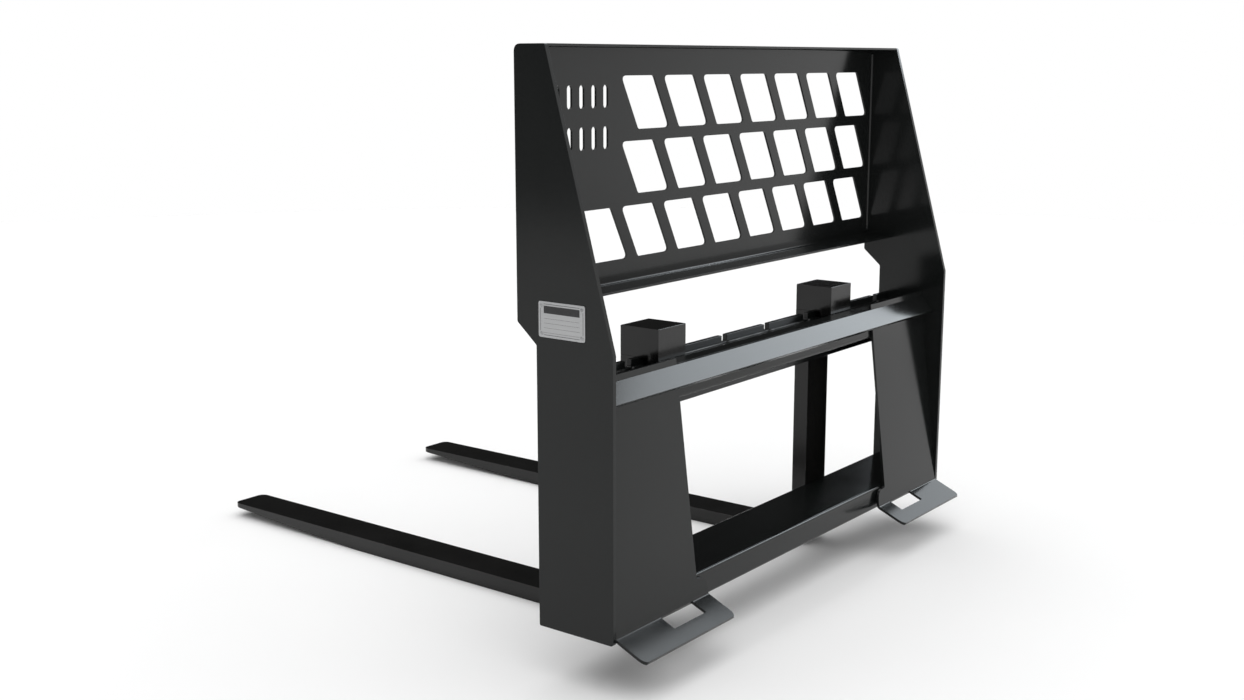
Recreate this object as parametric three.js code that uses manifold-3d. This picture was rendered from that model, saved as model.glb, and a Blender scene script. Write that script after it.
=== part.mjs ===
// A pallet fork attachment for a loader: a welded carriage with a load guard, and two forks that hang on its rail.
// Lengths are millimetres, +Z is up, +Y points along the forks and -Y towards the loader.
// The pieces are drawn in the carriage's own frame: x = 0 midway between the side plates, y = 0 at their rear
// edges and z = 0 at their lower edges. The exported group moves that frame so that the origin is on the floor.
import * as THREE from "three";
import { mergeVertices } from "three/addons/utils/BufferGeometryUtils.js";
import Module from "manifold-3d";

const wasm = await Module();
wasm.setup();

// ---- driving dimensions -------------------------------------------------------------------------------------

const GAP = 0.3; // left between pieces that touch

const FRAME_WIDTH = 1470; // over the side plates
const FRAME_HEIGHT = 1182;
const SIDE_THICKNESS = 10;
const INNER_HALF = FRAME_WIDTH / 2 - SIDE_THICKNESS; // centre to a side plate's inner face
const CLEAR_WIDTH = 2 * (INNER_HALF - GAP); // of every piece welded between the side plates

const SIDE_LOW_FRONT = 193; // front edge of a side plate's lower part
const SIDE_TOP_FRONT = 243; // front edge of its upper part
const SIDE_TOP_REAR = 165; // rear end of its top edge
const KNEE_LOW = 592; // height at which the rear edge starts to lean and the front edge to step forward
const KNEE_HIGH = 635; // height at which the front edge's step ends

const SHEET = 5; // guard panel
const GUARD_BOTTOM = 671;
const GUARD_FLANGE_REAR = 163;
const WINDOW_WIDTH = 118;
const WINDOW_HEIGHT = 114.5;
const WINDOW_SHEAR = 61; // how far a window's lower edge lies towards +X of its upper edge
const WINDOW_PITCH_X = 153.8;
const WINDOW_PITCH_Z = 139.2;
const WINDOW_TOP = 1118; // upper edge of the top row
const WINDOW_COLUMNS = 9;
const WINDOW_ROWS = 3;
const SLOTTED_COLUMNS = 2; // columns at -X whose two upper windows give way to slots
const SLOT_WIDTH = 16;
const SLOT_PITCH = 40;
const SLOT_COUNT = 6;
const SLOT_ROWS = [[1051, 1100], [965, 1014]]; // lower and upper end of each row of slots

const RAIL_REAR = 167;
const RAIL_FRONT = 179.5;
const RAIL_BOTTOM = 393;
const RAIL_TOP = 520;
const NOTCH_COUNT = 8;
const NOTCH_PITCH = 186.4;
const NOTCH_WIDTH = 21;
const NOTCH_DEPTH = 16;

const TUBE_BOTTOM = 445; // box section that backs the rail
const TUBE_TOP = 519;
const TUBE_FRONT = RAIL_REAR - GAP;
const TUBE_BEND_Y = 104; // from here its top wall slopes down to the rail
const TUBE_FRONT_TOP = 499.5; // where that wall meets the rail
const TUBE_WALL = 6;

const COUPLER_LEAN = THREE.MathUtils.degToRad(7); // the mounting plates lean forward towards the top
const COUPLER_BEND_Z = 12; // height of the bend at the foot of a mounting plate
const COUPLER_THICKNESS = 6.4;
const COUPLER_TOP = 532;
const BEND_RADIUS = 5; // inside its bend
const COUPLER_INNER = 433.6; // inner edge of a mounting plate, from the centre
const FOOT_INNER = 395.7; // inner end of its foot
const FOOT_REAR = -73;
const FOOT_DROP = 32; // how far the foot's rear edge lies below the bend
const FOOT_CORNER = 20;
const FOOT_STEP_Z = 54; // below this height the plate is as wide as its foot
const FOOT_STEP_RADIUS = 28;
const LOCK_SLOT_INNER = 456;
const LOCK_SLOT_OUTER = 573;
const LOCK_SLOT_DEPTH = 39; // along the foot, from the bend

const LIP_THICKNESS = 10;
const LIP_REAR = 28; // rear edge of the lip's upper face
const LIP_LOW_Z = 482; // and its height
const LIP_ANGLE = THREE.MathUtils.degToRad(47);
const LIP_TONGUE_HALF = 426; // the lip reaches the box section between the mounting plates

const BEAM_REAR = 15; // lower crossmember
const BEAM_BOTTOM = 2;
const BEAM_TOP = 60;
const BEAM_WALL = 6;

const FORK_WIDTH = 101.6;
const FORK_STATION = 2 * NOTCH_PITCH; // centre of a fork, as stored
const SHANK_REAR = 180;
const SHANK_FRONT = 220;
const BLADE_TOP = -72;
const BLADE_THICKNESS = 38;
const BLADE_LENGTH = 1371.6;
const TAPER_START = 1095;
const TIP_THICKNESS = 12;
const TIP_CORNER = 24;
const HEEL_RADIUS = 62;
const HEEL_INNER_RADIUS = 26;

const HEAD_REAR = 118;
const HEAD_TOP = 586;
const HOOK_FRONT = 148;
const HOOK_CLEARANCE = 1.5; // over the box section's sloping top
const HEAD_SEAT = RAIL_TOP + 0.5;

const BUSH_RADIUS = 9.4;
const BUSH_HEIGHT = 12;
const PLUNGER_RADIUS = 5;
const COLLAR_RADIUS = 7.4;
const COLLAR_HEIGHT = 5;
const LOCK_TRAVEL = 4.5; // how far the round nose drops into a notch before its collar meets the bush
const RUNNING = 0.6; // radial play round the plunger and its collar
const LOCK_Y = SHANK_REAR - BUSH_RADIUS - 2 * GAP; // clear of the arm below
const BUSH_BOTTOM = HEAD_SEAT + GAP;
const BUSH_TOP = BUSH_BOTTOM + BUSH_HEIGHT;
const COLLAR_BOTTOM = BUSH_TOP + LOCK_TRAVEL;
const COLLAR_TOP = COLLAR_BOTTOM + COLLAR_HEIGHT;
const BORE_TOP = HEAD_TOP - 6;
const STEM_TOP = COLLAR_TOP + 14;
const STEM_RADIUS = 3.2;
const SPRING_WIRE = 0.9; // radius
const SPRING_RADIUS = 5.2; // to the wire's centre
const SPRING_TURNS = 8;

const PLATE_LENGTH = 118; // rating plate on a side plate's outer face
const PLATE_HEIGHT = 72;
const PLATE_THICKNESS = 1.5;
const PLATE_Y = 126;
const PLATE_Z = 647;
const RIVET_INSET = 8;
const RIVET_RADIUS = 2;
const RIVET_DEPTH = 5.5; // into the side plate
const RIVET_HOLE_DEPTH = 6;
const RIVET_HEAD_RADIUS = 3.8;
const RIVET_HEAD_HEIGHT = 1.4;

// ---- shapes and solids --------------------------------------------------------------------------------------

// A closed outline through corners [x, y, radius], each rounded off where it has a radius.
function outline(corners, Kind = THREE.Shape) {
  const path = new Kind();
  const count = corners.length;
  corners.forEach(([x, y, radius = 0], i) => {
    const corner = new THREE.Vector2(x, y);
    const [px, py] = corners[(i + count - 1) % count];
    const [nx, ny] = corners[(i + 1) % count];
    const back = new THREE.Vector2(px - x, py - y).normalize();
    const ahead = new THREE.Vector2(nx - x, ny - y).normalize();
    const halfAngle = Math.acos(THREE.MathUtils.clamp(back.dot(ahead), -1, 1)) / 2;
    const cut = radius / Math.tan(halfAngle);
    const from = corner.clone().addScaledVector(back, cut);
    const to = corner.clone().addScaledVector(ahead, cut);
    if (i === 0) path.moveTo(from.x, from.y);
    else path.lineTo(from.x, from.y);
    if (radius > 0) path.quadraticCurveTo(x, y, to.x, to.y);
  });
  path.closePath();
  return path;
}

function rectangle(x0, y0, x1, y1, radius = 0, Kind = THREE.Shape) {
  return outline([[x0, y0, radius], [x1, y0, radius], [x1, y1, radius], [x0, y1, radius]], Kind);
}

function circle(x, y, radius, Kind = THREE.Path) {
  const path = new Kind();
  path.absarc(x, y, radius, 0, 2 * Math.PI, false);
  return path;
}

function extrude(shape, depth, segments = 5) {
  return new THREE.ExtrudeGeometry(shape, { depth, bevelEnabled: false, curveSegments: segments });
}

// A section drawn in (y, z), from x0 to x1.
function alongX(shape, x0, x1) {
  const turn = new THREE.Matrix4().makeBasis(
    new THREE.Vector3(0, 1, 0),
    new THREE.Vector3(0, 0, 1),
    new THREE.Vector3(1, 0, 0),
  );
  return extrude(shape, x1 - x0).applyMatrix4(turn).translate(x0, 0, 0);
}

// An elevation drawn in (x, z), from y0 to y1.
function alongY(shape, y0, y1) {
  return extrude(shape, y1 - y0)
    .rotateX(Math.PI / 2)
    .translate(0, y1, 0);
}

// A plan drawn in (x, y), from z0 to z1.
function alongZ(shape, z0, z1) {
  return extrude(shape, z1 - z0).translate(0, 0, z0);
}

// A turned piece about the Z axis from its profile of [radius, z] points, at (x, y).
function turned(profile, x, y, sides = 24) {
  const points = profile.map(([radius, z]) => new THREE.Vector2(radius, z));
  return new THREE.LatheGeometry(points, sides)
    .rotateX(Math.PI / 2)
    .translate(x, y, 0);
}

function toSolid(geometry) {
  const bare = geometry.clone();
  bare.deleteAttribute("normal");
  bare.deleteAttribute("uv");
  const merged = mergeVertices(bare, 1e-4);
  return new wasm.Manifold(
    new wasm.Mesh({
      numProp: 3,
      vertProperties: new Float32Array(merged.attributes.position.array),
      triVerts: new Uint32Array(merged.index.array),
    }),
  );
}

function toGeometry(solid) {
  const mesh = solid.getMesh();
  return new THREE.BufferGeometry()
    .setAttribute("position", new THREE.BufferAttribute(mesh.vertProperties, 3))
    .setIndex(new THREE.BufferAttribute(mesh.triVerts, 1));
}

function cut(body, ...tools) {
  const left = tools.reduce((rest, tool) => rest.subtract(toSolid(tool)), toSolid(body));
  return toGeometry(left);
}

function join(first, second) {
  return toGeometry(toSolid(first).add(toSolid(second)));
}

function common(first, second) {
  return toGeometry(toSolid(first).intersect(toSolid(second)));
}

// ---- materials ----------------------------------------------------------------------------------------------

const satinBlack = new THREE.MeshStandardMaterial({ color: 0x2e302f, roughness: 0.38, metalness: 0.15 });
const forkBlack = new THREE.MeshStandardMaterial({ color: 0x262625, roughness: 0.45, metalness: 0.2 });
const plainSteel = new THREE.MeshStandardMaterial({ color: 0x8f9294, roughness: 0.35, metalness: 0.9 });
const plateAlloy = new THREE.MeshStandardMaterial({ color: 0xb4b6b6, roughness: 0.4, metalness: 0.8 });

// ---- carriage -----------------------------------------------------------------------------------------------

function rivetPlaces() {
  const dy = PLATE_LENGTH / 2 - RIVET_INSET;
  const dz = PLATE_HEIGHT / 2 - RIVET_INSET;
  return [[-dy, -dz], [dy, -dz], [dy, dz], [-dy, dz]].map(([y, z]) => [PLATE_Y + y, PLATE_Z + z]);
}

// The plate at +X: a tall outline whose rear edge leans forward above the knee, with blind rivet holes.
function sidePlate() {
  const shape = outline([
    [0, 0, 8],
    [SIDE_LOW_FRONT, 0, 4],
    [SIDE_LOW_FRONT, KNEE_LOW, 6],
    [SIDE_TOP_FRONT, KNEE_HIGH, 6],
    [SIDE_TOP_FRONT, FRAME_HEIGHT, 16],
    [SIDE_TOP_REAR, FRAME_HEIGHT, 4],
    [0, KNEE_LOW, 10],
  ]);
  const face = FRAME_WIDTH / 2;
  const holes = rivetPlaces().map(([y, z]) => {
    return alongX(circle(y, z, RIVET_RADIUS + GAP, THREE.Shape), face - RIVET_HOLE_DEPTH, face + 1);
  });
  return cut(alongX(shape, INNER_HALF, face), ...holes);
}

// Guard sheet with a flange bent rearwards along its top and bottom.
function guardSection() {
  const front = SIDE_TOP_FRONT;
  const rear = SIDE_TOP_FRONT - SHEET;
  const bend = 4;
  return outline([
    [GUARD_FLANGE_REAR, GUARD_BOTTOM],
    [front, GUARD_BOTTOM, bend + SHEET],
    [front, FRAME_HEIGHT, bend + SHEET],
    [SIDE_TOP_REAR, FRAME_HEIGHT],
    [SIDE_TOP_REAR, FRAME_HEIGHT - SHEET],
    [rear, FRAME_HEIGHT - SHEET, bend],
    [rear, GUARD_BOTTOM + SHEET, bend],
    [GUARD_FLANGE_REAR, GUARD_BOTTOM + SHEET],
  ]);
}

function windowShape(column, row) {
  const rowWidth = (WINDOW_COLUMNS - 1) * WINDOW_PITCH_X + WINDOW_WIDTH + WINDOW_SHEAR;
  const x = column * WINDOW_PITCH_X - rowWidth / 2;
  const top = WINDOW_TOP - row * WINDOW_PITCH_Z;
  const bottom = top - WINDOW_HEIGHT;
  const corner = 10;
  return outline([
    [x + WINDOW_SHEAR, bottom, corner],
    [x + WINDOW_SHEAR + WINDOW_WIDTH, bottom, corner],
    [x + WINDOW_WIDTH, top, corner],
    [x, top, corner],
  ]);
}

// Plain slots with round ends, in two rows, centred over the columns that have no upper windows.
function slotShapes() {
  const rowWidth = (WINDOW_COLUMNS - 1) * WINDOW_PITCH_X + WINDOW_WIDTH + WINDOW_SHEAR;
  const middle = -rowWidth / 2 + (SLOTTED_COLUMNS * WINDOW_PITCH_X) / 2;
  const half = SLOT_WIDTH / 2;
  return SLOT_ROWS.flatMap(([low, high]) =>
    Array.from({ length: SLOT_COUNT }, (_, i) => {
      const x = middle + (i - (SLOT_COUNT - 1) / 2) * SLOT_PITCH;
      const path = new THREE.Shape();
      path.absarc(x, high - half, half, 0, Math.PI, false);
      path.absarc(x, low + half, half, Math.PI, 2 * Math.PI, false);
      path.closePath();
      return path;
    }),
  );
}

function guardPanel() {
  const openings = slotShapes();
  for (let row = 0; row < WINDOW_ROWS; row += 1) {
    const first = row < WINDOW_ROWS - 1 ? SLOTTED_COLUMNS : 0;
    for (let column = first; column < WINDOW_COLUMNS; column += 1) {
      openings.push(windowShape(column, row));
    }
  }
  const sheet = alongX(guardSection(), -CLEAR_WIDTH / 2, CLEAR_WIDTH / 2);
  return cut(sheet, alongY(openings, SIDE_TOP_FRONT - 2 * SHEET, SIDE_TOP_FRONT + SHEET));
}

// Flat bar on edge, notched along the top where the forks lock.
function forkRail() {
  const corners = [[-CLEAR_WIDTH / 2, RAIL_BOTTOM], [CLEAR_WIDTH / 2, RAIL_BOTTOM], [CLEAR_WIDTH / 2, RAIL_TOP]];
  for (let i = NOTCH_COUNT - 1; i >= 0; i -= 1) {
    const x = (i - (NOTCH_COUNT - 1) / 2) * NOTCH_PITCH;
    corners.push(
      [x + NOTCH_WIDTH / 2, RAIL_TOP],
      [x + NOTCH_WIDTH / 2, RAIL_TOP - NOTCH_DEPTH, 3],
      [x - NOTCH_WIDTH / 2, RAIL_TOP - NOTCH_DEPTH, 3],
      [x - NOTCH_WIDTH / 2, RAIL_TOP],
    );
  }
  corners.push([-CLEAR_WIDTH / 2, RAIL_TOP]);
  return alongY(outline(corners), RAIL_REAR, RAIL_FRONT);
}

// Rear face of a mounting plate at height z.
function couplerRear(z) {
  return 0.5 + (z - COUPLER_BEND_Z) * Math.tan(COUPLER_LEAN);
}

function couplerFront(z) {
  return couplerRear(z) + COUPLER_THICKNESS / Math.cos(COUPLER_LEAN);
}

// Height at y of the sloping part of the box section's top.
function tubeSlopeAt(y) {
  return TUBE_TOP - ((y - TUBE_BEND_Y) * (TUBE_TOP - TUBE_FRONT_TOP)) / (TUBE_FRONT - TUBE_BEND_Y);
}

// Box section that stiffens the rail: its rear wall lies along the mounting plates, its front wall along the rail.
function upperTube() {
  const rear = (z) => couplerFront(z) + GAP;
  const wall = TUBE_WALL;
  const slope = Math.atan2(TUBE_TOP - TUBE_FRONT_TOP, TUBE_FRONT - TUBE_BEND_Y);
  const shape = outline([
    [rear(TUBE_BOTTOM), TUBE_BOTTOM, 7],
    [TUBE_FRONT, TUBE_BOTTOM, 3],
    [TUBE_FRONT, TUBE_FRONT_TOP],
    [TUBE_BEND_Y, TUBE_TOP, 12],
    [rear(TUBE_TOP), TUBE_TOP, 3],
  ]);
  const inner = [
    [rear(TUBE_BOTTOM) + wall, TUBE_BOTTOM + wall, 2],
    [TUBE_FRONT - wall, TUBE_BOTTOM + wall, 2],
    [TUBE_FRONT - wall, tubeSlopeAt(TUBE_FRONT - wall) - wall / Math.cos(slope), 2],
    [TUBE_BEND_Y - wall * Math.tan(slope / 2), TUBE_TOP - wall, 6],
    [rear(TUBE_TOP) + wall, TUBE_TOP - wall, 2],
  ];
  shape.holes = [outline(inner, THREE.Path)];
  return alongX(shape, -CLEAR_WIDTH / 2, CLEAR_WIDTH / 2);
}

// Where the slope heightAt(y) meets the face reach(z).
function meetingY(heightAt, reach) {
  let y = reach(LIP_LOW_Z);
  for (let i = 0; i < 8; i++) y = reach(heightAt(y));
  return y;
}

// Sloping lip that the loader's coupler hooks under. Its root is cut along reach(z), and level with the box section.
function lipSection(reach) {
  const slope = Math.tan(LIP_ANGLE);
  const drop = LIP_THICKNESS / Math.cos(LIP_ANGLE);
  const topAt = (y) => LIP_LOW_Z + (y - LIP_REAR) * slope;
  const lowAt = (y) => topAt(y) - drop;
  const rootTop = meetingY(topAt, reach);
  const rootLow = meetingY(lowAt, reach);
  const chamfer = 3; // weld preparation under the root
  const root = [[rootTop, topAt(rootTop)]];
  const levelCut = [[reach(TUBE_TOP), TUBE_TOP], [LIP_REAR + (TUBE_TOP - LIP_LOW_Z) / slope, TUBE_TOP]];
  return outline([
    [LIP_REAR, LIP_LOW_Z, 1],
    [LIP_REAR + LIP_THICKNESS * Math.sin(LIP_ANGLE), LIP_LOW_Z - LIP_THICKNESS * Math.cos(LIP_ANGLE), 1],
    [rootLow - chamfer, lowAt(rootLow - chamfer)],
    [reach(lowAt(rootLow) + chamfer), lowAt(rootLow) + chamfer],
    ...(topAt(rootTop) > TUBE_TOP ? levelCut : root),
  ]);
}

function couplerLip() {
  const onPlates = alongX(lipSection((z) => couplerRear(z) - GAP), -CLEAR_WIDTH / 2, CLEAR_WIDTH / 2);
  const between = alongX(lipSection((z) => couplerFront(z) - GAP), -LIP_TONGUE_HALF, LIP_TONGUE_HALF);
  return join(onPlates, between);
}

// The mounting plate at +X, with its foot bent rearwards and a slot for the loader's lock pin.
function mountingPlate() {
  const bend = new THREE.Vector2(couplerRear(COUPLER_BEND_Z), COUPLER_BEND_Z);
  const toe = new THREE.Vector2(FOOT_REAR, COUPLER_BEND_Z - FOOT_DROP);
  const slope = bend.clone().sub(toe).angle();
  const footNormal = new THREE.Vector2(Math.sin(slope), -Math.cos(slope));
  const plateNormal = new THREE.Vector2(Math.cos(COUPLER_LEAN), -Math.sin(COUPLER_LEAN));
  const mitre = COUPLER_THICKNESS / (1 + footNormal.dot(plateNormal));
  const outerBend = bend.clone().addScaledVector(footNormal, mitre).addScaledVector(plateNormal, mitre);
  const outerToe = toe.clone().addScaledVector(footNormal, COUPLER_THICKNESS);
  const section = outline([
    [toe.x, toe.y, 1],
    [outerToe.x, outerToe.y, 1],
    [outerBend.x, outerBend.y, BEND_RADIUS + COUPLER_THICKNESS],
    [couplerFront(COUPLER_TOP), COUPLER_TOP],
    [couplerRear(COUPLER_TOP), COUPLER_TOP],
    [bend.x, bend.y, BEND_RADIUS],
  ]);
  const outer = INNER_HALF - GAP;
  const elevation = outline([
    [FOOT_INNER, FOOT_STEP_Z, FOOT_STEP_RADIUS],
    [COUPLER_INNER, FOOT_STEP_Z, BEND_RADIUS],
    [COUPLER_INNER, COUPLER_TOP + 1],
    [outer, COUPLER_TOP + 1],
    [outer, toe.y - 2 * COUPLER_THICKNESS],
    [FOOT_INNER, toe.y - 2 * COUPLER_THICKNESS],
  ]);
  const plan = outline([
    [FOOT_INNER, FOOT_REAR - 1, FOOT_CORNER],
    [outer, FOOT_REAR - 1, FOOT_CORNER],
    [outer, SIDE_LOW_FRONT],
    [FOOT_INNER, SIDE_LOW_FRONT],
  ]);
  const lockSlot = alongZ(rectangle(LOCK_SLOT_INNER, -LOCK_SLOT_DEPTH, LOCK_SLOT_OUTER, 0, 2), -20, 20)
    .rotateX(slope)
    .translate(0, bend.x, bend.y);
  const sheet = alongX(section, FOOT_INNER, outer);
  const trimmed = common(sheet, alongY(elevation, FOOT_REAR - 10, SIDE_LOW_FRONT));
  const shaped = common(trimmed, alongZ(plan, toe.y - 2 * COUPLER_THICKNESS, COUPLER_TOP + 1));
  return cut(shaped, lockSlot);
}

function lowerCrossmember() {
  const shape = rectangle(BEAM_REAR, BEAM_BOTTOM, RAIL_FRONT, BEAM_TOP, 7);
  const inner = [BEAM_REAR + BEAM_WALL, BEAM_BOTTOM + BEAM_WALL, RAIL_FRONT - BEAM_WALL, BEAM_TOP - BEAM_WALL];
  shape.holes = [rectangle(...inner, 2, THREE.Path)];
  return alongX(shape, -CLEAR_WIDTH / 2, CLEAR_WIDTH / 2);
}

function ratingPlate() {
  const y = PLATE_LENGTH / 2;
  const z = PLATE_HEIGHT / 2;
  const shape = rectangle(PLATE_Y - y, PLATE_Z - z, PLATE_Y + y, PLATE_Z + z, 5);
  shape.holes = rivetPlaces().map(([py, pz]) => circle(py, pz, RIVET_RADIUS + GAP));
  const face = FRAME_WIDTH / 2 + GAP;
  return alongX(shape, face, face + PLATE_THICKNESS);
}

// A blind rivet from inside the side plate to its domed head, turned about X.
function rivet(y, z) {
  const seat = FRAME_WIDTH / 2 + PLATE_THICKNESS + 2 * GAP;
  const tip = FRAME_WIDTH / 2 - RIVET_DEPTH;
  const rise = RIVET_HEAD_HEIGHT;
  return turned(
    [
      [0, tip],
      [RIVET_RADIUS, tip],
      [RIVET_RADIUS, seat],
      [RIVET_HEAD_RADIUS, seat],
      [RIVET_HEAD_RADIUS * 0.8, seat + rise * 0.7],
      [0, seat + rise],
    ],
    0,
    0,
    12,
  )
    .rotateY(Math.PI / 2)
    .translate(0, y, z);
}

// ---- forks --------------------------------------------------------------------------------------------------

// One fork arm, its blade tapering underneath towards the tip, centred on x = 0.
function forkArm() {
  const tip = SHANK_FRONT + BLADE_LENGTH;
  const underside = BLADE_TOP - BLADE_THICKNESS;
  const shankTop = HEAD_SEAT - GAP;
  const profile = outline([
    [SHANK_REAR, shankTop],
    [SHANK_REAR, underside, HEEL_RADIUS],
    [TAPER_START, underside],
    [tip, BLADE_TOP - TIP_THICKNESS, 2],
    [tip, BLADE_TOP, 2],
    [SHANK_FRONT, BLADE_TOP, HEEL_INNER_RADIUS],
    [SHANK_FRONT, shankTop],
  ]);
  const half = FORK_WIDTH / 2;
  const plan = outline([
    [-half, SHANK_REAR - 10],
    [half, SHANK_REAR - 10],
    [half, tip, TIP_CORNER],
    [-half, tip, TIP_CORNER],
  ]);
  return common(alongX(profile, -half, half), alongZ(plan, underside - 10, shankTop + 10));
}

// A round bar on the lock's axis.
function cylinder(radius, z0, z1) {
  return turned([[0, z0], [radius, z0], [radius, z1], [0, z1]], 0, LOCK_Y);
}

// Block welded on the arm: it bears on the rail, hooks behind it down to the box section's sloping top, and holds
// the spring plunger in a blind bore.
function headBlock() {
  const section = outline([
    [HEAD_REAR, tubeSlopeAt(HEAD_REAR) + HOOK_CLEARANCE, 2],
    [HOOK_FRONT, tubeSlopeAt(HOOK_FRONT) + HOOK_CLEARANCE, 4],
    [HOOK_FRONT, HEAD_SEAT],
    [SHANK_FRONT, HEAD_SEAT],
    [SHANK_FRONT, HEAD_TOP, 2],
    [HEAD_REAR, HEAD_TOP, 2],
  ]);
  const body = alongX(section, -FORK_WIDTH / 2, FORK_WIDTH / 2);
  const bushSeat = cylinder(BUSH_RADIUS + GAP, HEAD_SEAT - BUSH_HEIGHT, BUSH_TOP + GAP);
  const springBore = cylinder(COLLAR_RADIUS + RUNNING, BUSH_TOP, BORE_TOP);
  return cut(body, bushSeat, springBore);
}

function plungerBush() {
  return cut(
    cylinder(BUSH_RADIUS, BUSH_BOTTOM, BUSH_TOP),
    cylinder(PLUNGER_RADIUS + RUNNING, BUSH_BOTTOM - BUSH_HEIGHT, BUSH_TOP + BUSH_HEIGHT),
  );
}

// Round-nosed plunger, riding on the rail's top edge. Pushing the fork along cams the nose up out of a notch.
function lockPlunger() {
  const nose = RAIL_TOP + GAP;
  const roundNose = [0, 1, 2, 3, 4].map((i) => {
    const angle = (i * Math.PI) / 8;
    return [PLUNGER_RADIUS * Math.sin(angle), nose + PLUNGER_RADIUS * (1 - Math.cos(angle))];
  });
  return turned(
    [
      ...roundNose,
      [PLUNGER_RADIUS, COLLAR_BOTTOM],
      [COLLAR_RADIUS, COLLAR_BOTTOM],
      [COLLAR_RADIUS, COLLAR_TOP],
      [STEM_RADIUS, COLLAR_TOP],
      [STEM_RADIUS, STEM_TOP],
      [0, STEM_TOP],
    ],
    0,
    LOCK_Y,
  );
}

class Helix extends THREE.Curve {
  constructor(radius, turns, low, high) {
    super();
    Object.assign(this, { radius, turns, low, high });
  }

  getPoint(t, target = new THREE.Vector3()) {
    const angle = 2 * Math.PI * this.turns * t;
    const z = THREE.MathUtils.lerp(this.low, this.high, t);
    return target.set(this.radius * Math.cos(angle), LOCK_Y + this.radius * Math.sin(angle), z);
  }
}

function lockSpring() {
  const low = COLLAR_TOP + GAP + SPRING_WIRE;
  const high = BORE_TOP - GAP - SPRING_WIRE;
  const wire = circle(0, 0, SPRING_WIRE, THREE.Shape);
  return new THREE.ExtrudeGeometry(wire, {
    steps: SPRING_TURNS * 14,
    curveSegments: 3,
    bevelEnabled: false,
    extrudePath: new Helix(SPRING_RADIUS, SPRING_TURNS, low, high),
  });
}

// ---- assembly -----------------------------------------------------------------------------------------------

function addTo(parent, name, geometry, material) {
  const mesh = new THREE.Mesh(geometry, material);
  mesh.name = name;
  parent.add(mesh);
  return mesh;
}

// The same piece on both sides: as drawn at +X, and mirrored at -X.
function addPair(parent, name, geometry, material) {
  addTo(parent, "right_" + name, geometry, material);
  addTo(parent, "left_" + name, geometry, material).scale.x = -1;
}

function buildCarriage(parent) {
  addPair(parent, "side_plate", sidePlate(), satinBlack);
  addTo(parent, "guard_panel", guardPanel(), satinBlack);
  addTo(parent, "fork_rail", forkRail(), satinBlack);
  addTo(parent, "upper_tube", upperTube(), satinBlack);
  addTo(parent, "coupler_lip", couplerLip(), satinBlack);
  addPair(parent, "mounting_plate", mountingPlate(), satinBlack);
  addTo(parent, "lower_crossmember", lowerCrossmember(), satinBlack);
  addPair(parent, "rating_plate", ratingPlate(), plateAlloy);
  rivetPlaces().forEach(([y, z], i) => addPair(parent, "rivet_" + (i + 1), rivet(y, z), plainSteel));
}

function buildFork(parent, side, station) {
  const fork = new THREE.Group();
  fork.position.x = station;
  addTo(fork, side + "_fork_arm", forkArm(), forkBlack);
  addTo(fork, side + "_head_block", headBlock(), forkBlack);
  addTo(fork, side + "_plunger_bush", plungerBush(), plainSteel);
  addTo(fork, side + "_lock_plunger", lockPlunger(), plainSteel);
  addTo(fork, side + "_lock_spring", lockSpring(), plainSteel);
  parent.add(fork);
}

const attachment = new THREE.Group();
attachment.position.y = -(SHANK_FRONT + BLADE_LENGTH + FOOT_REAR) / 2;
attachment.position.z = BLADE_THICKNESS - BLADE_TOP;
buildCarriage(attachment);
buildFork(attachment, "left", -FORK_STATION);
buildFork(attachment, "right", FORK_STATION);

export default attachment;
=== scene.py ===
"""The looks of the pallet fork attachment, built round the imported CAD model.

The CAD nodes keep their shape. Each one gets rolled or ground edges and a painted, forged or brushed surface.
Weld beads, the rating plates' printing and the studio are made here. Lengths are metres, in the CAD frame.
"""

import math
import random

import bmesh
import bpy
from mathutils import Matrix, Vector


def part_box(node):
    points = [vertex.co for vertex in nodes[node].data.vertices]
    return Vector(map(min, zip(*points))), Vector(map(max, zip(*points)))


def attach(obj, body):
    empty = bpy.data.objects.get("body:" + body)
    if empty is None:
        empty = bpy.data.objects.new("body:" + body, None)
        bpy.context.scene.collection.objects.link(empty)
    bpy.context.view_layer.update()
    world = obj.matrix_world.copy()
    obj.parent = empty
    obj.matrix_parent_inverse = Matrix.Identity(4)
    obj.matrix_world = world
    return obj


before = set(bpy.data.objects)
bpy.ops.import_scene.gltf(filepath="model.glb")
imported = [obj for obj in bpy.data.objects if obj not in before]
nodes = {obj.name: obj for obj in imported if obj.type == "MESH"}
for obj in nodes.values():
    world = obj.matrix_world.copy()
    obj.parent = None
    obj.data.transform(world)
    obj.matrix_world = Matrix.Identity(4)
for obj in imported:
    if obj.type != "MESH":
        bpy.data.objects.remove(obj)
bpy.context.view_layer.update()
random.seed(7)

SIDES = {"left": -1, "right": 1}
MM = 0.001

# ---- camera ----------------------------------------------------------------------------------------------

CAMERA_PLACE = (-2.9084, -2.4404, 1.2593)
CAMERA_YAW = 52.64  # degrees from +Y towards +X
CAMERA_DIP = 11.2  # degrees below the horizon
CAMERA_LENS = 42.3  # mm, on a 36 mm sensor


def make_camera():
    data = bpy.data.cameras.new("camera")
    data.lens = CAMERA_LENS
    data.sensor_width = 36.0
    data.clip_end = 200.0
    camera = bpy.data.objects.new("camera", data)
    camera.location = CAMERA_PLACE
    camera.rotation_euler = (math.radians(90 - CAMERA_DIP), 0, math.radians(-CAMERA_YAW))
    bpy.context.scene.collection.objects.link(camera)
    bpy.context.scene.camera = camera


# ---- materials -------------------------------------------------------------------------------------------


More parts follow.
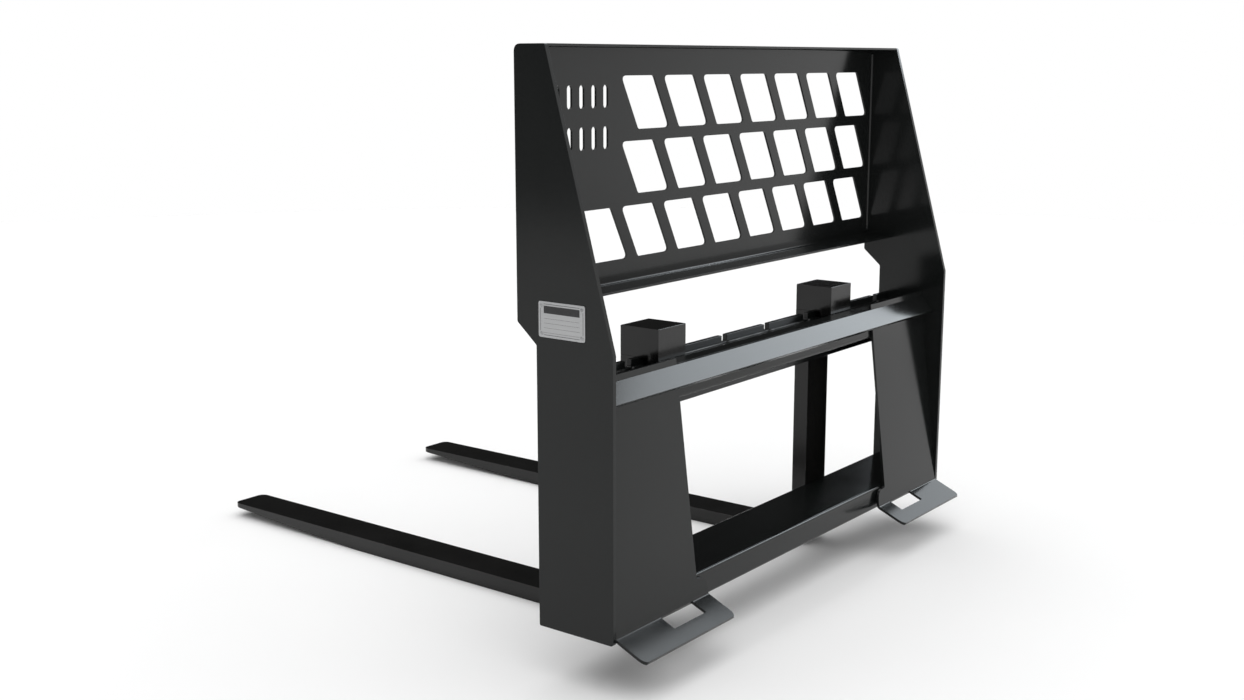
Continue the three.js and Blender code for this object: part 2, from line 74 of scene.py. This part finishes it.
class Nodes:
    """A new material's node tree, with short calls for what the materials below need."""

    def __init__(self, name):
        self.material = bpy.data.materials.new(name)
        self.material.use_nodes = True
        self.tree = self.material.node_tree
        self.shader = self.tree.nodes["Principled BSDF"]
        self.place = self.add("ShaderNodeTexCoord").outputs["Object"]

    def add(self, kind, **settings):
        node = self.tree.nodes.new(kind)
        for key, value in settings.items():
            setattr(node, key, value)
        return node

    def link(self, source, target):
        self.tree.links.new(source, target)

    def noise(self, scale, detail=2.0, roughness=0.5, stretch=(1, 1, 1)):
        mapping = self.add("ShaderNodeMapping")
        mapping.inputs["Scale"].default_value = stretch
        self.link(self.place, mapping.inputs["Vector"])
        node = self.add("ShaderNodeTexNoise")
        node.inputs["Scale"].default_value = scale
        node.inputs["Detail"].default_value = detail
        node.inputs["Roughness"].default_value = roughness
        self.link(mapping.outputs["Vector"], node.inputs["Vector"])
        return node.outputs["Fac"]

    def spread(self, value, low, high, from_low=0.3, from_high=0.7):
        node = self.add("ShaderNodeMapRange")
        node.inputs["From Min"].default_value = from_low
        node.inputs["From Max"].default_value = from_high
        node.inputs["To Min"].default_value = low
        node.inputs["To Max"].default_value = high
        self.link(value, node.inputs["Value"])
        return node.outputs["Result"]

    def mix(self, factor, first, second):
        node = self.add("ShaderNodeMix", data_type="RGBA")
        self.link(factor, node.inputs["Factor"])
        for socket, value in ((node.inputs["A"], first), (node.inputs["B"], second)):
            if isinstance(value, tuple):
                socket.default_value = (*value, 1)
            else:
                self.link(value, socket)
        return node.outputs["Result"]

    def times(self, first, second):
        node = self.add("ShaderNodeMath", operation="MULTIPLY")
        self.link(first, node.inputs[0])
        self.link(second, node.inputs[1])
        return node.outputs["Value"]

    def bump(self, height, distance, strength=1.0, under=None):
        node = self.add("ShaderNodeBump")
        node.inputs["Distance"].default_value = distance
        node.inputs["Strength"].default_value = strength
        self.link(height, node.inputs["Height"])
        if under is not None:
            self.link(under, node.inputs["Normal"])
        return node.outputs["Normal"]

    def set(self, socket, value):
        target = self.shader.inputs[socket]
        if isinstance(value, bpy.types.NodeSocket):
            self.link(value, target)
        elif isinstance(value, tuple):
            target.default_value = (*value, 1)
        else:
            target.default_value = value


SHEEN = 0.28  # specular level of the powder coat
FORK_SHEEN = 0.36  # and of the forks' paint


def worn_edges(n, width, amount):
    """1 on narrow stretches of the outer edges, broken up by noise, and 0 elsewhere."""
    rounded = n.add("ShaderNodeBevel", samples=4)
    rounded.inputs["Radius"].default_value = width
    geometry = n.add("ShaderNodeNewGeometry")
    dot = n.add("ShaderNodeVectorMath", operation="DOT_PRODUCT")
    n.link(rounded.outputs["Normal"], dot.inputs[0])
    n.link(geometry.outputs["Normal"], dot.inputs[1])
    edge = n.spread(dot.outputs["Value"], 1.0, 0.0, 0.86, 0.97)
    broken = n.spread(n.noise(38, 4, 0.6), 0.0, 1.0, 1 - amount, 1.06 - amount)
    return n.times(edge, broken)


def powder_coat():
    """Satin black powder coat: a fine orange peel, faint dust, and a slightly uneven gloss."""
    n = Nodes("powder_coat")
    tone = n.spread(n.noise(2.3, 3), 0, 1)
    base = n.mix(tone, (0.0042, 0.0049, 0.0048), (0.0064, 0.0073, 0.0071))
    dust = n.spread(n.noise(420, 2), 0.0, 0.04, 0.62, 0.72)
    n.set("Base Color", n.mix(dust, base, (0.09, 0.09, 0.085)))
    n.set("Roughness", n.spread(n.noise(5.5, 5, 0.6), 0.13, 0.18))
    n.set("Specular IOR Level", SHEEN)
    peel = n.bump(n.noise(640, 1.5), 0.0001, 0.2)
    n.set("Normal", n.bump(n.noise(70, 1), 0.0001, 0.12, peel))
    return n.material


def rubbed_coat():
    """Powder coat where the forks hang and slide: rubbed through to steel along the edges."""
    n = Nodes("rubbed_coat")
    tone = n.spread(n.noise(3.1, 4), 0, 1)
    base = n.mix(tone, (0.0042, 0.0049, 0.0048), (0.0068, 0.0076, 0.0074))
    rub = worn_edges(n, 0.0025, 0.5)
    n.set("Base Color", n.mix(rub, base, (0.11, 0.11, 0.112)))
    n.set("Metallic", n.spread(rub, 0.0, 0.8, 0.2, 0.9))
    n.set("Roughness", n.spread(n.noise(12, 5, 0.6, (0.2, 1, 1)), 0.14, 0.26))
    n.set("Specular IOR Level", SHEEN)
    n.set("Normal", n.bump(n.noise(300, 2, 0.5, (0.15, 1, 1)), 0.0001, 0.35))
    return n.material


def forged_paint():
    """Black paint over the scale of a forged bar: pitted a little, and rubbed thin where loads slide."""
    n = Nodes("forged_paint")
    tone = n.spread(n.noise(6, 5, 0.65), 0, 1)
    base = n.mix(tone, (0.0040, 0.0040, 0.0038), (0.0074, 0.0073, 0.0070))
    rub = worn_edges(n, 0.004, 0.42)
    n.set("Base Color", n.mix(rub, base, (0.05, 0.049, 0.047)))
    n.set("Roughness", n.spread(n.noise(9, 5, 0.65), 0.14, 0.22))
    n.set("Specular IOR Level", FORK_SHEEN)
    scale = n.bump(n.noise(95, 4, 0.6), 0.0002, 0.1)
    n.set("Normal", n.bump(n.noise(420, 2), 0.0001, 0.18, scale))
    return n.material


def machined_steel():
    """Turned or drawn steel, lightly oiled."""
    n = Nodes("machined_steel")
    tone = n.spread(n.noise(30, 4), 0, 1)
    n.set("Base Color", n.mix(tone, (0.26, 0.265, 0.27), (0.38, 0.385, 0.39)))
    n.set("Metallic", 1.0)
    n.set("Roughness", n.spread(n.noise(160, 3, 0.6, (1, 1, 6)), 0.24, 0.42))
    n.set("Normal", n.bump(n.noise(900, 2, 0.5, (1, 1, 5)), 0.00005, 0.5))
    return n.material


def brushed_alloy():
    """Rolled aluminium plate, brushed along its length."""
    n = Nodes("brushed_alloy")
    grain = n.noise(260, 3, 0.6, (1, 0.06, 8))
    n.set("Base Color", n.mix(grain, (0.34, 0.345, 0.35), (0.58, 0.585, 0.59)))
    n.set("Metallic", 0.9)
    n.set("Roughness", n.spread(grain, 0.28, 0.46))
    n.set("Normal", n.bump(grain, 0.00006, 0.6))
    return n.material


def printed_ink():
    """Matte dark print on the rating plate."""
    n = Nodes("printed_ink")
    tone = n.spread(n.noise(300, 3), 0, 1)
    n.set("Base Color", n.mix(tone, (0.012, 0.012, 0.013), (0.024, 0.024, 0.025)))
    n.set("Roughness", n.spread(n.noise(120, 2), 0.42, 0.55))
    n.set("Normal", n.bump(n.noise(500, 2), 0.00004, 0.5))
    return n.material


def weld_paint():
    """The powder coat as it lies over a weld: thicker and glossier in the ripples."""
    n = Nodes("weld_paint")
    tone = n.spread(n.noise(60, 3), 0, 1)
    n.set("Base Color", n.mix(tone, (0.0044, 0.0050, 0.0049), (0.0078, 0.0086, 0.0084)))
    n.set("Roughness", n.spread(n.noise(90, 3), 0.16, 0.26))
    n.set("Specular IOR Level", SHEEN)
    n.set("Normal", n.bump(n.noise(700, 2), 0.0001, 0.5))
    return n.material


def paint(piece, material):
    piece.data.materials.clear()
    piece.data.materials.append(material)


# ---- edges of the CAD pieces -----------------------------------------------------------------------------

SHARP = math.radians(28)
EDGE_WIDTHS = {  # how far the edge of each kind of piece is rounded off
    "fork_arm": 3.2 * MM,
    "head_block": 1.8 * MM,
    "side_plate": 0.9 * MM,
    "coupler_lip": 0.9 * MM,
    "mounting_plate": 0.8 * MM,
    "fork_rail": 1.0 * MM,
    "upper_tube": 0.8 * MM,
    "lower_crossmember": 0.8 * MM,
    "guard_panel": 0.6 * MM,
    "rating_plate": 0.25 * MM,
    "plunger_bush": 0.4 * MM,
    "lock_plunger": 0.3 * MM,
    "rivet": 0.15 * MM,
}


def kind_of(node):
    for side in SIDES:
        node = node.removeprefix(side + "_")
    return "rivet" if node.startswith("rivet") else node


def round_edges(piece, width):
    """Rounds a CAD piece's sharp edges with modifiers, which leave its own mesh as it is."""
    weld = piece.modifiers.new("weld", "WELD")
    weld.merge_threshold = 0.00002
    flat = piece.modifiers.new("flat", "DECIMATE")
    flat.decimate_type = "DISSOLVE"
    flat.angle_limit = math.radians(0.6)
    bevel = piece.modifiers.new("edges", "BEVEL")
    bevel.width = width
    bevel.segments = 3
    bevel.limit_method = "ANGLE"
    bevel.angle_limit = SHARP
    facets = piece.modifiers.new("facets", "TRIANGULATE")
    facets.min_vertices = 5
    shade = piece.modifiers.new("shade", "WEIGHTED_NORMAL")
    shade.mode = "FACE_AREA"
    shade.weight = 100
    for polygon in piece.data.polygons:
        polygon.use_smooth = True


# ---- weld beads ------------------------------------------------------------------------------------------

RIPPLE = 4.2 * MM  # from one ripple of a bead to the next
RINGS_PER_RIPPLE = 4
ARC_POINTS = 5
SINK = 0.35 * MM  # how far a bead's legs lie inside the walls that it joins


def bead_ring(place, along, walls, leg, lag):
    """A fillet's section: buried in the root, flush with both walls, and rounded between them."""
    first, second = walls
    ring = [place - (first + second) * SINK]
    for i in range(ARC_POINTS):
        turn = i / (ARC_POINTS - 1)
        reach = first * (1 - turn) + second * turn
        bulge = (first + second) * (0.17 * math.sin(math.pi * turn))
        sink = -(first * turn + second * (1 - turn)) * SINK
        ring.append(place + (reach + bulge) * leg + sink + along * (lag * math.sin(math.pi * turn)))
    return ring


def add_run(mesh, start, end, walls, leg):
    """One run of weld from start to end, rippled and with rounded ends."""
    along = (end - start).normalized()
    length = (end - start).length
    count = max(6, round(length / RIPPLE) * RINGS_PER_RIPPLE)
    rings = []
    for i in range(count + 1):
        s = length * i / count
        to_end = min(s, length - s) / (1.3 * leg)
        taper = math.sqrt(max(0.04, 1 - (1 - min(1, to_end)) ** 2))
        phase = (i % RINGS_PER_RIPPLE) / RINGS_PER_RIPPLE
        swell = 1 + 0.10 * (1 - phase) + random.uniform(-0.025, 0.025)
        ring = bead_ring(start + along * s, along, walls, leg * taper * swell, 0.35 * leg * taper)
        rings.append([mesh.verts.new(point) for point in ring])
    for near, far in zip(rings, rings[1:]):
        for j, corner in enumerate(near):
            k = (j + 1) % len(near)
            mesh.faces.new((corner, near[k], far[k], far[j]))
    mesh.faces.new(list(reversed(rings[0])))
    mesh.faces.new(rings[-1])


def stitches(start, end, count, length):
    """The ends of count runs of weld, evenly spaced from start to end."""
    start, end = Vector(start), Vector(end)
    along = (end - start).normalized()
    total = (end - start).length
    free = (total - count * length) / (count - 1) if count > 1 else 0
    for i in range(count):
        near = start + along * (i * (length + free))
        yield near, near + along * (length if count > 1 else total)


def weld_bead(name, body, seams, leg, material):
    """One piece that holds several runs of weld. A seam is (start, end, wall, wall, count, length)."""
    mesh = bmesh.new()
    for start, end, first, second, count, length in seams:
        walls = (Vector(first).normalized(), Vector(second).normalized())
        for near, far in stitches(start, end, count, length):
            add_run(mesh, near, far, walls, leg)
    bmesh.ops.recalc_face_normals(mesh, faces=mesh.faces)
    for face in mesh.faces:
        face.smooth = True
    data = bpy.data.meshes.new(name)
    mesh.to_mesh(data)
    mesh.free()
    piece = bpy.data.objects.new(name, data)
    bpy.context.scene.collection.objects.link(piece)
    paint(piece, material)
    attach(piece, body)
    return piece


GUARD_SHEET = 5 * MM
COUPLER_LEAN = math.tan(math.radians(7))
COUPLER_SHEET = 6.4 * MM / math.cos(math.radians(7))  # measured level
LIP_ANGLE = math.radians(47)
LIP_SHEET = 10 * MM
NOTCH_COUNT = 8
NOTCH_PITCH = 186.4 * MM
NOTCH_WIDTH = 21 * MM
TUBE_MEETS_RAIL = 106.5 * MM  # above the rail's lower edge
TUBE_SLOPE = math.atan2(19.5, 62.7)


def coupler_front(z):
    """The mounting plates' front face at height z."""
    _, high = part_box("right_mounting_plate")
    return high[1] - (high[2] - z) * COUPLER_LEAN


def coupler_rear(z):
    return coupler_front(z) - COUPLER_SHEET


def lip_underside():
    """The lower edge of the lip's underside, and the point where it meets the mounting plates."""
    low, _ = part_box("coupler_lip")
    y = low[1] + LIP_SHEET * math.sin(LIP_ANGLE)
    z = low[2]
    slope = math.tan(LIP_ANGLE)
    rise = (coupler_rear(z) - y) / (1 / slope - COUPLER_LEAN)
    return (y, z), (y + rise / slope, z + rise)


def side_seams(sign):
    """Seams between one side plate and what stands against its inner face."""
    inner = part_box("right_side_plate")[0][0] * sign
    inward = (-sign, 0, 0)
    guard_low, guard_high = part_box("guard_panel")
    rail_low, rail_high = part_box("fork_rail")
    beam_low, beam_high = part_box("lower_crossmember")
    tube_low, tube_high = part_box("upper_tube")
    guard_rear = guard_high[1] - GUARD_SHEET
    foot, root = lip_underside()
    low_z = beam_high[2] + 12 * MM
    high_z = tube_low[2] - 12 * MM
    lip_normal = (0, math.sin(LIP_ANGLE), -math.cos(LIP_ANGLE))
    seams = [
        ((inner, guard_rear, guard_low[2] + 12 * MM), (inner, guard_rear, guard_high[2] - 12 * MM),
         inward, (0, -1, 0), 1, 0),
        ((inner, rail_high[1], rail_low[2] + 6 * MM), (inner, rail_high[1], rail_high[2] - 6 * MM),
         inward, (0, 1, 0), 1, 0),
        ((inner, rail_low[1], rail_low[2] + 6 * MM), (inner, rail_low[1], tube_low[2] - 4 * MM),
         inward, (0, -1, 0), 1, 0),
        ((inner, coupler_front(low_z), low_z), (inner, coupler_front(high_z), high_z),
         inward, (0, 1, -COUPLER_LEAN), 4, 60 * MM),
        ((inner, beam_low[1] + 12 * MM, beam_high[2]), (inner, beam_high[1] - 12 * MM, beam_high[2]),
         inward, (0, 0, 1), 1, 0),
        ((inner, beam_high[1], beam_low[2] + 9 * MM), (inner, beam_high[1], beam_high[2] - 9 * MM),
         inward, (0, 1, 0), 1, 0),
        ((inner, foot[0] + 8 * MM, foot[1] + 8 * MM * math.tan(LIP_ANGLE)), (inner, *root),
         inward, lip_normal, 1, 0),
        ((inner, tube_low[1] + 20 * MM, tube_low[2]), (inner, tube_high[1] - 6 * MM, tube_low[2]),
         inward, (0, 0, -1), 1, 0),
    ]
    return seams


def coupler_seams(sign):
    """Seams between one mounting plate and the lip, the crossmember and the tube."""
    plate_low, plate_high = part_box("right_mounting_plate")
    _, beam_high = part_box("lower_crossmember")
    tube_low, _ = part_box("upper_tube")
    _, root = lip_underside()
    ends = (plate_low[0] + 46 * MM, plate_high[0] - 14 * MM)
    beam_y = coupler_front(beam_high[2])
    tube_y = coupler_front(tube_low[2])
    up_slope = (0, COUPLER_LEAN, 1)
    down_slope = (0, -COUPLER_LEAN, -1)
    lip_slope = (0, -math.cos(LIP_ANGLE), -math.sin(LIP_ANGLE))
    near, far = (sign * x for x in ends)
    return [
        ((near, *root), (far, *root), down_slope, lip_slope, 3, 62 * MM),
        ((near, beam_y, beam_high[2]), (far, beam_y, beam_high[2]), up_slope, (0, 1, 0), 3, 62 * MM),
        ((near, tube_y, tube_low[2]), (far, tube_y, tube_low[2]), down_slope, (0, 1, 0), 3, 62 * MM),
    ]


def rail_seams():
    """Seams between the rail and the tube: along its top, left out at the notches, and along its bottom."""
    rail_low, rail_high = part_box("fork_rail")
    tube_low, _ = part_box("upper_tube")
    foot_z = rail_low[2] + TUBE_MEETS_RAIL
    slope = (0, -math.cos(TUBE_SLOPE), math.sin(TUBE_SLOPE))
    notches = [(i - (NOTCH_COUNT - 1) / 2) * NOTCH_PITCH for i in range(NOTCH_COUNT)]
    ends = [rail_low[0] - NOTCH_WIDTH / 2, *notches, rail_high[0] + NOTCH_WIDTH / 2]
    seams = []
    for near, far in zip(ends, ends[1:]):
        start, end = near + NOTCH_WIDTH / 2, far - NOTCH_WIDTH / 2
        run = (start, rail_low[1], foot_z), (end, rail_low[1], foot_z)
        seams.append((*run, slope, (0, 0, 1), 1, 0))
    x = rail_high[0] - 12 * MM
    run = (-x, rail_low[1], tube_low[2]), (x, rail_low[1], tube_low[2])
    seams.append((*run, (0, -1, 0), (0, 0, -1), 9, 60 * MM))
    return seams


def make_welds(material):
    for side, sign in SIDES.items():
        weld_bead(side + "_side_welds", "carriage", side_seams(sign), 5 * MM, material)
        weld_bead(side + "_coupler_welds", "carriage", coupler_seams(sign), 4.5 * MM, material)
    weld_bead("rail_welds", "carriage", rail_seams(), 5 * MM, material)


# ---- rating plates ---------------------------------------------------------------------------------------

INK_RISE = 0.08 * MM
PRINT_MARGIN = 4.5 * MM
LINE = 0.9 * MM


def add_panel(mesh, x, sign, y0, z0, y1, z1):
    """A thin rectangle of ink that lies on the plane x."""
    layers = []
    for rise in (-INK_RISE, INK_RISE):
        corners = ((y0, z0), (y1, z0), (y1, z1), (y0, z1))
        layers.append([mesh.verts.new((x + sign * rise, y, z)) for y, z in corners])
    below, above = layers
    mesh.faces.new(above)
    mesh.faces.new(list(reversed(below)))
    for j in range(4):
        k = (j + 1) % 4
        mesh.faces.new((below[j], below[k], above[k], above[j]))


def plate_print(side, sign, material):
    """A plain printed form without words: a border, a dark band, and ruled blank fields."""
    low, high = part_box(side + "_rating_plate")
    x = high[0] if sign > 0 else low[0]
    y0, y1 = low[1] + PRINT_MARGIN, high[1] - PRINT_MARGIN
    z0, z1 = low[2] + PRINT_MARGIN, high[2] - PRINT_MARGIN
    clear = 9 * MM  # keeps the print off the rivets
    mesh = bmesh.new()
    for z in (z0, z1 - LINE):
        add_panel(mesh, x, sign, y0 + clear, z, y1 - clear, z + LINE)
    for y in (y0, y1 - LINE):
        add_panel(mesh, x, sign, y, z0 + clear, y + LINE, z1 - clear)
    band = 15 * MM
    add_panel(mesh, x, sign, y0 + clear, z1 - 4 * MM - band, y1 - clear, z1 - 4 * MM)
    rows = 4
    step = (z1 - z0 - band - 10 * MM) / rows
    for row in range(rows):
        z = z0 + 5 * MM + row * step
        add_panel(mesh, x, sign, y0 + clear, z, y1 - clear, z + LINE / 2)
    bmesh.ops.recalc_face_normals(mesh, faces=mesh.faces)
    data = bpy.data.meshes.new(side + "_plate_print")
    mesh.to_mesh(data)
    mesh.free()
    piece = bpy.data.objects.new(side + "_plate_print", data)
    bpy.context.scene.collection.objects.link(piece)
    paint(piece, material)
    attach(piece, "carriage")


# ---- studio ----------------------------------------------------------------------------------------------

FLOOR_RADIUS = 9.0
FLOOR_SIDES = 96


def floor_material():
    n = Nodes("studio_floor")
    n.set("Base Color", n.mix(n.noise(1.5, 2), (0.88, 0.88, 0.88), (0.91, 0.91, 0.91)))
    n.set("Roughness", n.spread(n.noise(3, 2), 0.85, 0.95))
    n.set("Specular IOR Level", 0.1)
    return n.material


def make_floor():
    mesh = bmesh.new()
    bmesh.ops.create_circle(mesh, cap_ends=True, segments=FLOOR_SIDES, radius=FLOOR_RADIUS)
    data = bpy.data.meshes.new("studio_floor")
    mesh.to_mesh(data)
    mesh.free()
    floor = bpy.data.objects.new("studio_floor", data)
    floor.location.z = -0.5 * MM
    bpy.context.scene.collection.objects.link(floor)
    paint(floor, floor_material())


SKY_HORIZON = 1.25  # radiance low down on the loader's side
SKY_REAR = 1.0  # and higher up there
SKY_TOP = 1.68
SKY_LEFT = 0.3
SKY_DARK = 0.02
COOL = (0.86, 0.94, 1.0)


def make_sky():
    """A pale studio: bright overhead and behind the carriage, and dark low down beyond the fork tips."""
    world = bpy.data.worlds.new("studio")
    world.use_nodes = True
    bpy.context.scene.world = world
    tree = world.node_tree
    tree.nodes.clear()

    def add(kind, **settings):
        node = tree.nodes.new(kind)
        for key, value in settings.items():
            setattr(node, key, value)
        return node

    def ramp(source, start, end, low, high):
        node = add("ShaderNodeMapRange", interpolation_type="SMOOTHSTEP")
        node.inputs["From Min"].default_value = start
        node.inputs["From Max"].default_value = end
        node.inputs["To Min"].default_value = low
        node.inputs["To Max"].default_value = high
        tree.links.new(source, node.inputs["Value"])
        return node.outputs["Result"]

    def combine(operation, first, second):
        node = add("ShaderNodeMath", operation=operation)
        tree.links.new(first, node.inputs[0])
        tree.links.new(second, node.inputs[1])
        return node.outputs["Value"]

    way = add("ShaderNodeSeparateXYZ")
    tree.links.new(add("ShaderNodeTexCoord").outputs["Generated"], way.inputs[0])
    rearward = ramp(way.outputs["Y"], -0.15, 0.35, 1, 0)
    rear = combine("MULTIPLY", rearward, ramp(way.outputs["Z"], 0.0, 0.3, SKY_HORIZON, SKY_REAR))
    top = ramp(way.outputs["Z"], 0.5, 0.8, SKY_DARK, SKY_TOP)
    left = ramp(way.outputs["X"], -0.9, -0.2, SKY_LEFT, SKY_DARK)
    lit = add("ShaderNodeBackground")
    low_down = combine("MAXIMUM", rear, left)
    tree.links.new(combine("MAXIMUM", low_down, top), lit.inputs["Strength"])
    seen = add("ShaderNodeBackground")
    for node in (lit, seen):
        node.inputs["Color"].default_value = (1, 1, 1, 1)
    mix = add("ShaderNodeMixShader")
    tree.links.new(add("ShaderNodeLightPath").outputs["Is Camera Ray"], mix.inputs[0])
    tree.links.new(lit.outputs[0], mix.inputs[1])
    tree.links.new(seen.outputs[0], mix.inputs[2])
    out = add("ShaderNodeOutputWorld")
    tree.links.new(mix.outputs[0], out.inputs["Surface"])


def softbox(name, place, aim, width, height, radiance, color=(1, 1, 1)):
    """A rectangular softbox that shines from place towards aim, seen only as a reflection."""
    data = bpy.data.lights.new(name, "AREA")
    data.color = color
    data.shape = "RECTANGLE"
    data.size = width
    data.size_y = height
    data.energy = radiance * width * height * math.pi
    light = bpy.data.objects.new(name, data)
    light.location = place
    light.rotation_euler = (Vector(aim) - Vector(place)).to_track_quat("-Z", "Y").to_euler()
    light.visible_camera = False
    light.visible_diffuse = False
    bpy.context.scene.collection.objects.link(light)


def make_studio():
    make_floor()
    make_sky()
    softbox("softbox_lip", (5.0, -2.2, 3.4), (0, -0.7, 0.6), 2.6, 2.2, 5.0, COOL)
    softbox("softbox_high", (4.3, 0.1, 4.5), (0, -0.7, 0.6), 3.2, 2.2, 2.6, COOL)
    softbox("softbox_low", (5.3, 0.1, 2.55), (0, -0.7, 0.6), 3.2, 2.2, 2.1, COOL)
    bpy.context.scene.view_settings.view_transform = "Standard"


# ---- assembly --------------------------------------------------------------------------------------------


def dress_cad():
    coat, forged, steel, alloy = powder_coat(), forged_paint(), machined_steel(), brushed_alloy()
    by_kind = {
        "fork_arm": forged,
        "head_block": forged,
        "fork_rail": rubbed_coat(),
        "rating_plate": alloy,
        "rivet": steel,
        "plunger_bush": steel,
        "lock_plunger": steel,
        "lock_spring": steel,
    }
    for name, piece in nodes.items():
        kind = kind_of(name)
        paint(piece, by_kind.get(kind, coat))
        if kind in EDGE_WIDTHS:
            round_edges(piece, EDGE_WIDTHS[kind])


make_camera()
make_studio()
dress_cad()
make_welds(weld_paint())
ink = printed_ink()
for side, sign in SIDES.items():
    plate_print(side, sign, ink)
